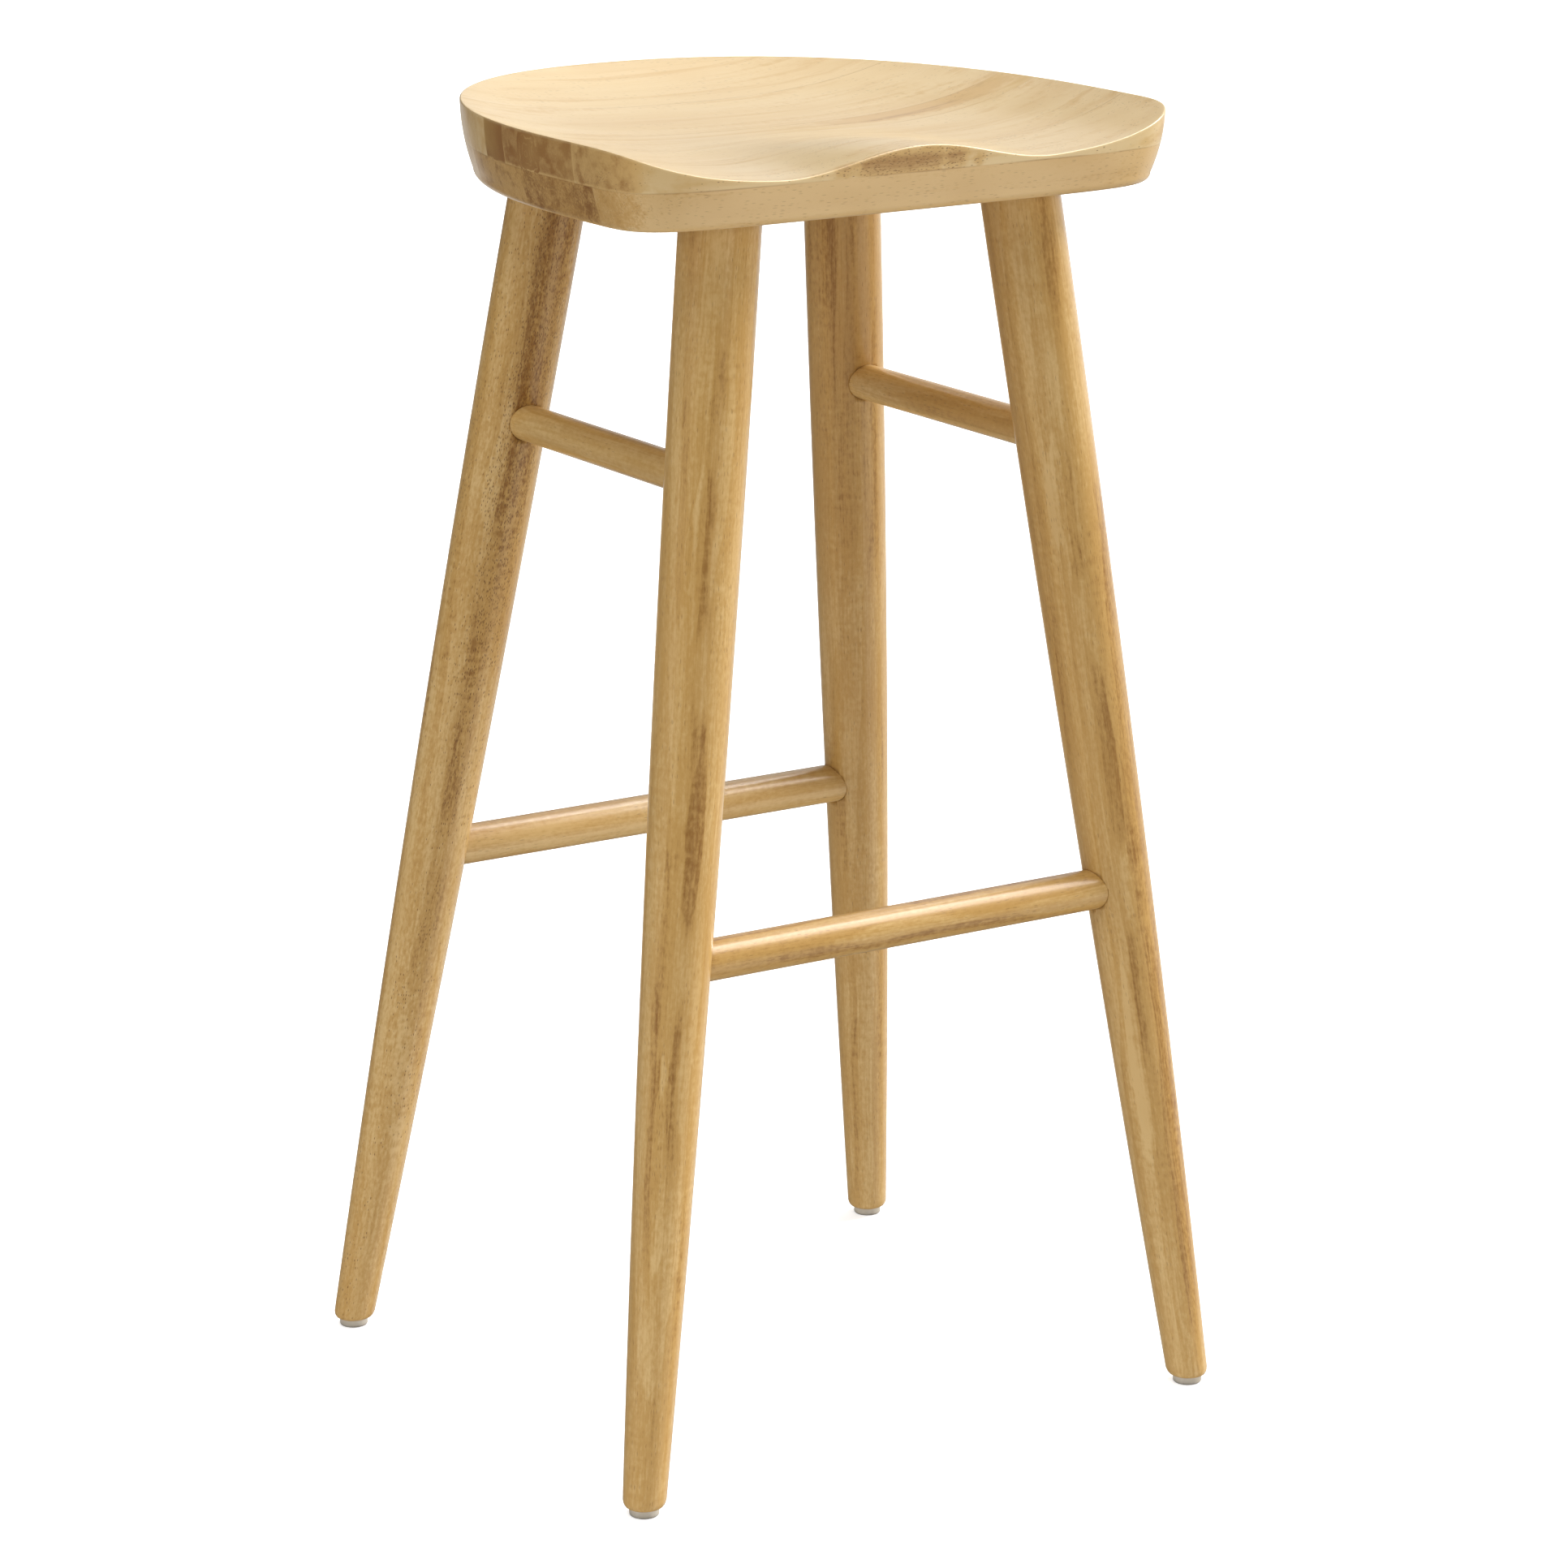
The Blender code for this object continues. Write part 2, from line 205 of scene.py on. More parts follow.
def ring_solid(profile, steps):
    """A closed turned ring about Z. The profile is a loop that doesn't reach the axis."""
    build = bmesh.new()
    rings = [new_ring(build, radius, z, steps) for radius, z in profile]
    for upper, lower in zip(rings, rings[1:] + rings[:1]):
        for step in range(steps):
            following = (step + 1) % steps
            build.faces.new((upper[step], lower[step], lower[following], upper[following]))
    bmesh.ops.recalc_face_normals(build, faces=build.faces)
    return build


def drill(piece, cutters):
    """Cuts each cutter's shape out of the piece, and removes the cutters."""
    for cutter in cutters:
        modifier = piece.modifiers.new("Drill", "BOOLEAN")
        modifier.operation = "DIFFERENCE"
        modifier.object = cutter
        modifier.solver = "EXACT"
    drilled = bpy.data.meshes.new_from_object(piece.evaluated_get(bpy.context.evaluated_depsgraph_get()))
    piece.modifiers.clear()
    piece.data = drilled
    for cutter in cutters:
        bpy.data.objects.remove(cutter)


def mesh_points(piece):
    """The places of a piece's vertices, one row for each."""
    points = np.empty(len(piece.data.vertices) * 3)
    piece.data.vertices.foreach_get("co", points)
    return points.reshape(-1, 3)


def set_grain(piece, points, end_axis, rim=None):
    """Stores the wood's own coordinates on a piece: X along the fibres, Y and Z across them, in metres.

    "end" says how much of the end grain a point shows, and "rim" how close it is to the seat's rim, which is
    worn and carries a painted highlight.
    """
    mesh = piece.data
    normals = np.array([vertex.normal for vertex in mesh.vertices])
    grain = mesh.attributes.new("grain", "FLOAT_VECTOR", "POINT")
    grain.data.foreach_set("vector", points.astype(np.float32).ravel())
    end = mesh.attributes.new("end", "FLOAT", "POINT")
    end.data.foreach_set("value", np.abs(normals @ np.array(end_axis)).astype(np.float32))
    wear_and_highlight = np.zeros(len(points)) if rim is None else rim
    edge = mesh.attributes.new("rim", "FLOAT", "POINT")
    edge.data.foreach_set("value", wear_and_highlight.astype(np.float32))


def finish_piece(piece, node, material):
    """Gives a piece its material, hangs it on the root body and hides the CAD node that it stands for."""
    piece.data.materials.clear()
    piece.data.materials.append(material)
    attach(piece, "root")
    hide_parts(node)


# ---------------------------------------------------------------- seat


def outline_point(angle, inset):
    """A point of the seat's outline, moved in by the inset. The angle is measured from +Y towards +X."""
    across = math.sin(angle)
    along = math.cos(angle)
    half_width = SEAT_WIDTH / 2 - inset
    if along >= 0:
        reach = SEAT_BACK_Y - WIDEST_Y - inset
        power = BACK_POWER
    else:
        reach = WIDEST_Y - SEAT_FRONT_Y - inset
        power = FRONT_POWER
    radius = (abs(across / half_width) ** power + abs(along / reach) ** power) ** (-1 / power)
    return radius * across, WIDEST_Y + radius * along


def wall_inset(height):
    """How far the side wall has leaned in at a height above the underside."""
    drop = SEAT_THICKNESS - max(height, LOWER_EDGE_ROUND)
    lean = WALL_ARC - math.sqrt(WALL_ARC**2 - drop**2)
    below = max(LOWER_EDGE_ROUND - height, 0.0)
    return lean + LOWER_EDGE_ROUND - math.sqrt(LOWER_EDGE_ROUND**2 - below**2)


def top_height(x, y):
    """Height of the carved top above the underside."""
    across = abs(x) / (SEAT_WIDTH / 2)
    back = max(y - WIDEST_Y, 0.0) / (SEAT_BACK_Y - WIDEST_Y)
    ring = min((across**BACK_POWER + back**BACK_POWER) ** (1 / BACK_POWER), 1.0)
    share = back / ring if ring > 0 else 0.0
    power = BOWL_SIDE_POWER + (BOWL_BACK_POWER - BOWL_SIDE_POWER) * share
    bowl = BOWL_DEPTH * (1 - ring**power)
    beside = min(abs(x) / POMMEL_HALF_WIDTH, 1.0)
    behind = min(max((POMMEL_END_Y - y) / (POMMEL_END_Y - SEAT_FRONT_Y), 0.0), 1.0)
    ridge = POMMEL_HEIGHT * math.cos(beside * math.pi / 2) ** 2 * behind**2 * (3 - 2 * behind)
    return SEAT_THICKNESS - bowl + ridge


def rim_point(angle):
    """Where the carved top meets the leaning side wall."""
    height = SEAT_THICKNESS
    for _ in range(RIM_ROUNDS):
        x, y = outline_point(angle, wall_inset(height))
        height = top_height(x, y)
    return Vector((x, y, height))


def wall_point(angle, height):
    """A point of the side wall, at a height above the underside."""
    return Vector((*outline_point(angle, wall_inset(height)), height))


def top_point(rim, share):
    """A point of the top on the line from the widest line's middle to a rim point."""
    x = rim.x * share
    y = WIDEST_Y + (rim.y - WIDEST_Y) * share
    return Vector((x, y, top_height(x, y)))


def seat_column(angle):
    """The seat's points at one angle, from the underside up the wall, round the rim and over the top."""
    rim = rim_point(angle)
    column = []
    for step in range(SEAT_EDGE_STEPS):
        turn = step / SEAT_EDGE_STEPS * math.pi / 2
        column.append(wall_point(angle, LOWER_EDGE_ROUND * (1 - math.cos(turn))))
    wall_top = rim.z - RIM_ROUND
    for step in range(SEAT_WALL_STEPS):
        rise = (wall_top - LOWER_EDGE_ROUND) * step / SEAT_WALL_STEPS
        column.append(wall_point(angle, LOWER_EDGE_ROUND + rise))
    below = wall_point(angle, wall_top)
    reach = math.hypot(rim.x, rim.y - WIDEST_Y)
    inside = 1 - RIM_ROUND / reach
    beside = top_point(rim, inside)
    for step in range(SEAT_RIM_STEPS + 1):
        turn = step / SEAT_RIM_STEPS
        column.append(below * (1 - turn) ** 2 + rim * 2 * turn * (1 - turn) + beside * turn**2)
    for step in range(1, SEAT_TOP_STEPS):
        share = inside * (1 - (step / SEAT_TOP_STEPS) ** SEAT_TOP_CROWDING)
        column.append(top_point(rim, share))
    return column


def seat_blank():
    """The whole carved seat as one closed solid, before it is divided into its boards."""
    build = bmesh.new()
    lift = Vector((0, 0, UNDERSIDE_Z))
    columns = []
    for step in range(SEAT_STEPS):
        points = seat_column(2 * math.pi * step / SEAT_STEPS)
        columns.append([build.verts.new(point + lift) for point in points])
    middle = build.verts.new((0, WIDEST_Y, UNDERSIDE_Z + top_height(0, WIDEST_Y)))
    for column, following in zip(columns, columns[1:] + columns[:1]):
        for low in range(len(column) - 1):
            build.faces.new((column[low], column[low + 1], following[low + 1], following[low]))
        build.faces.new((column[-1], middle, following[-1]))
    build.faces.new([column[0] for column in columns])
    bmesh.ops.recalc_face_normals(build, faces=build.faces)
    return build


def cut_away(build, point, direction):
    """Removes what lies beyond a plane and closes the cut."""
    everything = build.verts[:] + build.edges[:] + build.faces[:]
    bmesh.ops.bisect_plane(
        build, geom=everything, dist=1e-7, plane_co=point, plane_no=direction, clear_outer=True
    )
    rim = [edge for edge in build.edges if edge.is_boundary]
    bmesh.ops.edgeloop_fill(build, edges=rim)


def board_edges(layer):
    """The glue joints of a layer, halfway between the neighbouring boards of the frame."""
    joints = []
    for name, following in zip(BOARD_NAMES, BOARD_NAMES[1:]):
        rear_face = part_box(f"{layer}_{name}")[1].y
        front_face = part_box(f"{layer}_{following}")[0].y
        joints.append((rear_face + front_face) / 2)
    return [None, *joints, None]


def rim_closeness(points):
    """1 on the rounded rim of the seat, 0 a few millimetres away from it."""
    closeness = np.zeros(len(points))
    for index, (x, y, z) in enumerate(points):
        height = z - UNDERSIDE_Z
        rim = rim_point(math.atan2(x, y - WIDEST_Y))
        distance = math.dist((x, y, height), rim)
        closeness[index] = max(0.0, 1 - distance / RIM_WEAR_AND_HIGHLIGHT_REACH)
    return closeness


def make_seat():
    """Cuts the carved blank at the level glue line, and each layer at its joints, into the ten boards."""
    blank = seat_blank()
    layer_blanks = {}
    for layer, direction in (("seat_lower", 1), ("seat_upper", -1)):
        half = blank.copy()
        cut_away(half, (0, 0, GLUE_Z), (0, 0, direction))
        layer_blanks[layer] = half
    blank.free()
    for layer, half in layer_blanks.items():
        edges = board_edges(layer)
        for name, front, rear in zip(BOARD_NAMES, edges[:-1], edges[1:]):
            build = half.copy()
            if front is not None:
                cut_away(build, (0, front, 0), (0, -1, 0))
            if rear is not None:
                cut_away(build, (0, rear, 0), (0, 1, 0))
            node = f"{layer}_{name}"
            board = new_piece("board_" + node, build)
            if layer == "seat_lower":
                drill_mortises(board, front, rear)
            points = mesh_points(board)
            closeness = rim_closeness(points) if layer == "seat_upper" else None
            set_grain(board, points, (1, 0, 0), closeness)
            seams = [(1, joint) for joint in (front, rear) if joint is not None]
            board_look = {**BOARD_LOOKS[node], "seams": [*seams, (2, GLUE_Z)]}
            finish_piece(board, node, wood(node, board_look))
        half.free()


def drill_mortises(board, front, rear):
    """Cuts the blind holes of those legs' tenons that reach the board."""
    front = SEAT_FRONT_Y if front is None else front
    rear = SEAT_BACK_Y if rear is None else rear
    radius = TENON_RADIUS + FIT_GAP
    top = UNDERSIDE_Z + TENON_LENGTH + FIT_GAP
    bottom = UNDERSIDE_Z - CUTTER_OVERHANG
    profile = [(0, top), (radius, top), (radius, bottom), (0, bottom)]
    cutters = []
    for corner in CORNERS:
        _, y = leg_axis(corner, UNDERSIDE_Z)
        if front - TENON_RADIUS < y < rear + TENON_RADIUS:
            cutters.append(new_piece("cut", turned(profile, LEG_STEPS, leg_place(corner))))
    if cutters:
        drill(board, cutters)


# ---------------------------------------------------------------- legs and stretchers


def leg_slopes(corner):
    """The lean of a leg in X and Y, from the glide under it and the leg's own box."""
    foot_x, foot_y = leg_foot(corner)
    low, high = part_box("leg_" + CORNERS[corner])
    side, end = corner
    top_x = low.x + LEG_TOP_RADIUS if side > 0 else high.x - LEG_TOP_RADIUS
    top_y = low.y + LEG_TOP_RADIUS if end > 0 else high.y - LEG_TOP_RADIUS
    rise = UNDERSIDE_Z - GLIDE_HEIGHT
    return (top_x - foot_x) / rise, (top_y - foot_y) / rise


def leg_foot(corner):
    """The leg's middle at the top of its glide."""
    low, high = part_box("glide_" + CORNERS[corner])
    return (low.x + high.x) / 2, (low.y + high.y) / 2


def leg_axis(corner, z):
    """Where the leg's middle line is, at a height above the floor."""
    foot_x, foot_y = leg_foot(corner)
    slope_x, slope_y = leg_slopes(corner)
    return foot_x + slope_x * (z - GLIDE_HEIGHT), foot_y + slope_y * (z - GLIDE_HEIGHT)


def leg_place(corner):
    """Leans an upright turned shape: each level slides sideways, so its ends stay level."""
    slope_x, slope_y = leg_slopes(corner)
    lean = Matrix.Identity(4)
    lean[0][2] = slope_x
    lean[1][2] = slope_y
    floor_x, floor_y = leg_axis(corner, 0)
    return Matrix.Translation((floor_x, floor_y, 0)) @ lean


def leg_radius(z):
    """The leg tapers in a gentle curve, fastest near the foot."""
    down = 1 - z / UNDERSIDE_Z
    return LEG_TOP_RADIUS - (LEG_TOP_RADIUS - LEG_FOOT_RADIUS) * down**2


def leg_profile():
    """A leg from the top of its tenon, down the taper, to its rounded foot."""
    tenon_top = UNDERSIDE_Z + TENON_LENGTH
    taper_low = GLIDE_HEIGHT + FOOT_CHAMFER
    profile = [
        (0, tenon_top),
        (TENON_RADIUS - END_ROUND, tenon_top),
        (TENON_RADIUS, tenon_top - END_ROUND),
        (TENON_RADIUS, UNDERSIDE_Z),
    ]
    for step in range(LEG_TAPER_STEPS + 1):
        z = UNDERSIDE_Z + (taper_low - UNDERSIDE_Z) * step / LEG_TAPER_STEPS
        profile.append((leg_radius(z), z))
    end_radius = leg_radius(GLIDE_HEIGHT) - FOOT_CHAMFER_WIDTH
    for step in range(1, FOOT_STEPS + 1):
        turn = step / FOOT_STEPS * math.pi / 2
        radius = end_radius + FOOT_CHAMFER_WIDTH * math.cos(turn) ** FOOT_WIDTH_POWER
        profile.append((radius, taper_low - FOOT_CHAMFER * math.sin(turn) ** FOOT_HEIGHT_POWER))
    profile.append((0, GLIDE_HEIGHT))
    return profile


def rail_shape(node):
    """A stretcher's radius, half length, place and whether it runs along X, from its box."""
    low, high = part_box(node)
    size = high - low
    along_x = size.x > size.y
    turn = Matrix.Rotation(math.pi / 2, 4, "Y") if along_x else Matrix.Rotation(-math.pi / 2, 4, "X")
    place = Matrix.Translation((low + high) / 2) @ turn
    return size.z / 2, max(size.x, size.y) / 2, place, along_x


def rail_profile(radius, half):
    """A dowel with slightly rounded ends."""
    profile = [(0, half), (radius - END_ROUND, half)]
    inner = half - END_ROUND
    for step in range(RAIL_LENGTH_STEPS + 1):
        profile.append((radius, inner - 2 * inner * step / RAIL_LENGTH_STEPS))
    profile += [(radius - END_ROUND, -half), (0, -half)]
    return profile


def make_rails():
    """The footrest and the three stretchers, each a dowel between two legs."""
    for node in RAILS:
        radius, half, place, along_x = rail_shape(node)
        rail = new_piece("rail_" + node, turned(rail_profile(radius, half), RAIL_STEPS, place))
        points = mesh_points(rail)
        grain = points if along_x else points[:, (1, 0, 2)]
        set_grain(rail, grain, (1, 0, 0) if along_x else (0, 1, 0))
        finish_piece(rail, node, wood(node, RAIL_LOOKS[node]))


def rail_hole(node):
    """The shape that a stretcher's mortises are cut with: the dowel itself, a little larger."""
    radius, half, place, _ = rail_shape(node)
    wide = radius + FIT_GAP
    end = half + FIT_GAP
    profile = [(0, end), (wide, end), (wide, -end), (0, -end)]
    return new_piece("cut", turned(profile, RAIL_STEPS, place))


def nail_hole(corner):
    """The shape of the hole that the glide's nail makes in the leg."""
    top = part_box("glide_nail_" + CORNERS[corner])[1].z
    radius = NAIL_RADIUS + FIT_GAP
    under = Matrix.Translation((*leg_foot(corner), 0))
    return new_piece("cut", turned([(0, top), (radius, top), (radius, 0), (0, 0)], NAIL_STEPS, under))


def make_legs():
    """Turns each leg, drills it for its stretchers and its nail, and finishes it."""
    profile = leg_profile()
    for corner, name in CORNERS.items():
        node = "leg_" + name
        leg = new_piece("turned_" + node, turned(profile, LEG_STEPS, leg_place(corner)))
        holes = [rail_hole(rail) for rail, ends in RAILS.items() if corner in ends]
        holes.append(nail_hole(corner))
        drill(leg, holes)
        points = mesh_points(leg)
        axis_x, axis_y = leg_axis(corner, points[:, 2])
        grain = np.stack([points[:, 2], points[:, 0] - axis_x, points[:, 1] - axis_y], axis=1)
        set_grain(leg, grain, (0, 0, 1))
        finish_piece(leg, node, wood(node, LEG_LOOKS[node]))


# ---------------------------------------------------------------- glides


def quarter_round(radius, size, steps):
    """Points down a rounded lower edge, from the side to the flat underside."""
    points = []
    for step in range(steps + 1):
        turn = step / steps * math.pi / 2
        points.append((radius - size * (1 - math.cos(turn)), size * (1 - math.sin(turn))))
    return points


def make_glides():
    """A plastic glide under each leg, with its nail in the recess."""
    plastic = moulded_plastic()
    steel = bright_steel()
    hole = NAIL_RADIUS + FIT_GAP
    recess = NAIL_HEAD_RADIUS + FIT_GAP
    profile = [(hole, GLIDE_HEIGHT), (GLIDE_RADIUS - GLIDE_TOP_ROUND, GLIDE_HEIGHT)]
    profile += [(GLIDE_RADIUS, GLIDE_HEIGHT - GLIDE_TOP_ROUND)]
    profile += quarter_round(GLIDE_RADIUS, GLIDE_ROUND, GLIDE_EDGE_STEPS)
    profile += [(recess, 0), (recess, RECESS_DEPTH), (hole, RECESS_DEPTH)]
    for corner, name in CORNERS.items():
        under = Matrix.Translation((*leg_foot(corner), 0))
        build = ring_solid(profile, GLIDE_STEPS)
        build.transform(under)
        glide = new_piece("foot_glide_" + name, build)
        finish_piece(glide, "glide_" + name, plastic)
        nail = new_piece("foot_nail_" + name, turned(nail_profile(name), NAIL_STEPS, under))
        finish_piece(nail, "glide_nail_" + name, steel)


def nail_profile(name):
    """A nail from its point down to its slightly crowned head."""
    low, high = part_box("glide_nail_" + name)
    head_top = low.z + NAIL_HEAD_HEIGHT
    return [
        (0, high.z),
        (NAIL_RADIUS, high.z - NAIL_POINT),
        (NAIL_RADIUS, head_top),
        (NAIL_HEAD_RADIUS, head_top),
        (NAIL_HEAD_RADIUS, low.z + NAIL_CROWN),
        (NAIL_FLAT_RADIUS, low.z),
        (0, low.z),
    ]


# ---------------------------------------------------------------- node helpers


class Nodes:
    """Short calls that add shader nodes to a new material and return their outputs."""

    def __init__(self, name):
        self.material = bpy.data.materials.new(name)
        self.material.use_nodes = True
        self.tree = self.material.node_tree
        self.shader = self.tree.nodes["Principled BSDF"]

    def add(self, kind, settings=(), inputs=()):
        node = self.tree.nodes.new("ShaderNode" + kind)
        for name, value in dict(settings).items():
            setattr(node, name, value)
        for name, value in dict(inputs).items():
            if isinstance(value, bpy.types.NodeSocket):
                self.tree.links.new(value, node.inputs[name])
            else:
                node.inputs[name].default_value = value
        return node

    def attribute(self, name, output):
        return self.add("Attribute", {"attribute_name": name}).outputs[output]

    def math(self, operation, first, second=0.0):
        return self.add("Math", {"operation": operation}, {0: first, 1: second}).outputs[0]

    def stretch(self, vector, scale, offset=(0, 0, 0)):
        return self.add("Mapping", {}, {"Vector": vector, "Location": offset, "Scale": scale}).outputs[0]

    def noise(self, vector, scale, detail=2.0, roughness=0.5, output="Fac"):
        """Stretched noise. The scale says how many lumps there are per metre on each axis."""
        inputs = {"Vector": self.stretch(vector, scale), "Scale": 1.0}
        inputs.update({"Detail": detail, "Roughness": roughness})
        return self.add("TexNoise", {}, inputs).outputs[output]

    def plus(self, total, value, share):
        """The total with a share of the value added."""
        return self.math("ADD", total, self.math("MULTIPLY", value, share))

    def centred(self, value):
        """A value that lay between 0 and 1, moved to lie around 0."""
        return self.math("SUBTRACT", value, 0.5)

    def vector(self, operation, first, second=(0, 0, 0), output="Vector"):
        return self.add("VectorMath", {"operation": operation}, {0: first, 1: second}).outputs[output]

    def scattered(self, vector, source, scale, reach, detail):
        """The vector, moved about by up to half the reach on each axis, by noise at the source's places."""
        noise = self.noise(source, scale, detail=detail, output="Color")
        shift = self.vector("SUBTRACT", noise, (0.5, 0.5, 0.5))
        return self.vector("ADD", vector, self.vector("MULTIPLY", shift, reach))

    def step_up(self, value, low, high):
        """0 below low, 1 above high, smooth in between. With low above high it steps down."""
        settings = {"interpolation_type": "SMOOTHSTEP"}
        inputs = {"Value": value, "From Min": low, "From Max": high}
        return self.add("MapRange", settings, inputs).outputs[0]

    def mix(self, factor, first, second):
        """The first colour, turned into the second by the factor. Inputs 6 and 7 are the colours."""
        node = self.add("Mix", {"data_type": "RGBA"})
        for index, value in ((0, factor), (6, first), (7, second)):
            if isinstance(value, bpy.types.NodeSocket):
                self.tree.links.new(value, node.inputs[index])
            elif index == 0:
                node.inputs[index].default_value = value
            else:
                node.inputs[index].default_value = (*value, 1.0)
        return node.outputs[2]

    def link(self, output, input_name):
        self.tree.links.new(output, self.shader.inputs[input_name])

    def bump(self, height, strength, distance):
        inputs = {"Height": height, "Strength": strength, "Distance": distance}
        return self.add("Bump", {}, inputs).outputs[0]


# ---------------------------------------------------------------- wood


# How many lumps of each noise there are per metre: along the fibres, and on the two axes across them.
WANDER_SCALE = (5, 18, 18)
BAND_SCALE = (4, 110, 110)
FIBRE_SCALE = (22, 900, 900)
MOTTLE_SCALE = (270, 600, 600)
BLOTCH_SCALE = (9, 26, 26)
SMEAR_SCALE = (14, 40, 40)
RING_WAVER_SCALE = (6, 45, 45)
RIPPLE_SCALE = (260, 120, 120)
RIPPLE_PATCH_SCALE = (10, 45, 45)
PORE_CROWD_SCALE = (12, 60, 60)
PORES_PER_METRE = 1200
SEAM_SCALE = (30, 30, 30)
STREAK_WAVER_SCALE = (9, 70, 70)
SPOT_WAVER_SCALE = (90, 90, 90)

# How far the fibres wander sideways, in metres.
WANDER_REACH = (0, 0.012, 0.012)

# How uneven the edges of rings, streaks, spots and crowds of pores are.
RING_WAVER = 1.3
STREAK_WAVER_REACH = (0, 0.26, 0.26)
SPOT_WAVER_REACH = (1, 1, 1)
PORE_CROWDING = 1.2

# Growth rings hardly change along the fibres.
RING_STRETCH = (0.03, 1, 1)

# How far from its ends a streak starts to fade, in metres, and how much of its half width is solid.
STREAK_FADE = 0.08
STREAK_CORE = 0.35

# How strongly blotches, glue lines and the rim's wear with its painted highlight show in the colour.
BLOTCH_SHARE = 0.40
SEAM_SHARE = 0.42
WEAR_AND_HIGHLIGHT_SHARE = 0.30
# The rim's pale colour: rubbed wood, and a painted highlight along the rounded arris.
WORN_WOOD_AND_HIGHLIGHT = (0.80, 0.62, 0.36)

# The relief felt through the lacquer.
FIBRE_HEIGHT = 0.45
RIPPLE_HEIGHT = 0.35
PORE_HEIGHT = -0.9
BUMP_STRENGTH = 0.16
BUMP_DEPTH = 0.0004

# Lacquer.
LACQUER_IOR = 1.55
COAT_WEIGHT = 0.55
COAT_ROUGHNESS = 0.20
SMEAR_ROUGHNESS = 0.16
WORN_ROUGHNESS = -0.06


def wood(name, look):
    """Lacquered light hardwood: growth rings round a pith line, fibres, pores, ripple and brown streaks, with
    painted highlights in pale bands down the legs and along the seat's rim.
    """
    nodes = Nodes("wood_" + name)
    place = nodes.stretch(nodes.attribute("grain", "Vector"), (1, 1, 1), look["offset"])
    fibre_place = nodes.scattered(place, place, WANDER_SCALE, WANDER_REACH, detail=2)
    fibres = nodes.noise(fibre_place, FIBRE_SCALE, detail=3, roughness=0.6)
    ripple = ripple_figure(nodes, fibre_place)
    tone, speckle = wood_tone(nodes, fibre_place, look, fibres, ripple)
    pores = wood_pores(nodes, fibre_place, look, speckle)
    # The pale rim: partly wear, partly a painted highlight along the rounded arris.
    wear_and_highlight = nodes.step_up(nodes.attribute("rim", "Fac"), 0.45, 0.95)
    nodes.link(wood_colour(nodes, place, look, tone, pores, wear_and_highlight), "Base Color")
    wood_surface(nodes, place, look, fibres, ripple, pores, wear_and_highlight)
    return nodes.material


def wood_tone(nodes, place, look, fibres, ripple):
    """How dark the wood is, 0 pale and 1 dark, with the painted highlight bands paler, and how much speckle
    its streaks and spots add.
    """
    rings = growth_rings(nodes, place, look)
    bands = nodes.noise(place, BAND_SCALE, detail=3, roughness=0.55)
    mottle = nodes.noise(place, MOTTLE_SCALE, detail=2, roughness=0.6)
    end = nodes.step_up(nodes.attribute("end", "Fac"), 0.35, 0.95)
    tone = nodes.math("MULTIPLY", rings, look["rings"])
    tone = nodes.plus(tone, nodes.step_up(bands, 0.44, 0.74), look["bands"])
    tone = nodes.plus(tone, nodes.centred(fibres), look["fibres"])
    tone = nodes.plus(tone, nodes.centred(ripple), look["ripple"])
    tone = nodes.plus(tone, nodes.centred(mottle), look["mottle"])
    tone = nodes.plus(tone, end, look["end"])
    speckle = 0.0
    masks = [(streak_and_highlight_band(nodes, *streak[:4]), *streak[4:]) for streak in look["streaks"]]
    masks += [(wood_spot(nodes, *spot[:3]), *spot[3:]) for spot in look["spots"]]
    for mask, tone_strength, speckle_strength in masks:
        tone = nodes.plus(tone, mask, tone_strength)
        speckle = nodes.plus(speckle, mask, speckle_strength)
    return nodes.math("ADD", tone, look["tone"]), speckle


def wood_colour(nodes, place, look, tone, pores, wear_and_highlight):
    """Pale to middle to dark by tone, then warm blotches, pores, glue lines, and the rubbed rim with its
    painted highlight.
    """
    blotch = nodes.step_up(nodes.noise(place, BLOTCH_SCALE, detail=2), 0.35, 0.75)
    colour = nodes.mix(nodes.step_up(tone, 0.0, 0.5), look["pale"], look["middle"])
    colour = nodes.mix(nodes.step_up(tone, 0.45, 1.0), colour, look["dark"])
    colour = nodes.mix(nodes.math("MULTIPLY", blotch, BLOTCH_SHARE), colour, look["warm"])
    colour = nodes.mix(nodes.math("MULTIPLY", pores, look["pores"]), colour, look["pore_colour"])
    for axis, position in look["seams"]:
        colour = nodes.mix(seam_line(nodes, axis, position), colour, look["dark"])
    # The rim made paler: rubbed wood with a painted highlight.
    return nodes.mix(nodes.math("MULTIPLY", wear_and_highlight, WEAR_AND_HIGHLIGHT_SHARE), colour, WORN_WOOD_AND_HIGHLIGHT)


def wood_surface(nodes, place, look, fibres, ripple, pores, wear_and_highlight):
    """Fibres, ripple and pores felt through the lacquer, which is smeared a little and rubbed on the rim."""
    height = nodes.math("MULTIPLY", fibres, FIBRE_HEIGHT)
    height = nodes.plus(height, ripple, RIPPLE_HEIGHT)
    height = nodes.plus(height, pores, PORE_HEIGHT)
    nodes.link(nodes.bump(height, BUMP_STRENGTH, BUMP_DEPTH), "Normal")
    smear = nodes.noise(place, SMEAR_SCALE, detail=3)
    roughness = nodes.plus(look["roughness"], smear, SMEAR_ROUGHNESS)
    nodes.link(nodes.plus(roughness, wear_and_highlight, WORN_ROUGHNESS), "Roughness")
    nodes.shader.inputs["IOR"].default_value = LACQUER_IOR
    nodes.shader.inputs["Coat Weight"].default_value = COAT_WEIGHT
    nodes.shader.inputs["Coat Roughness"].default_value = COAT_ROUGHNESS


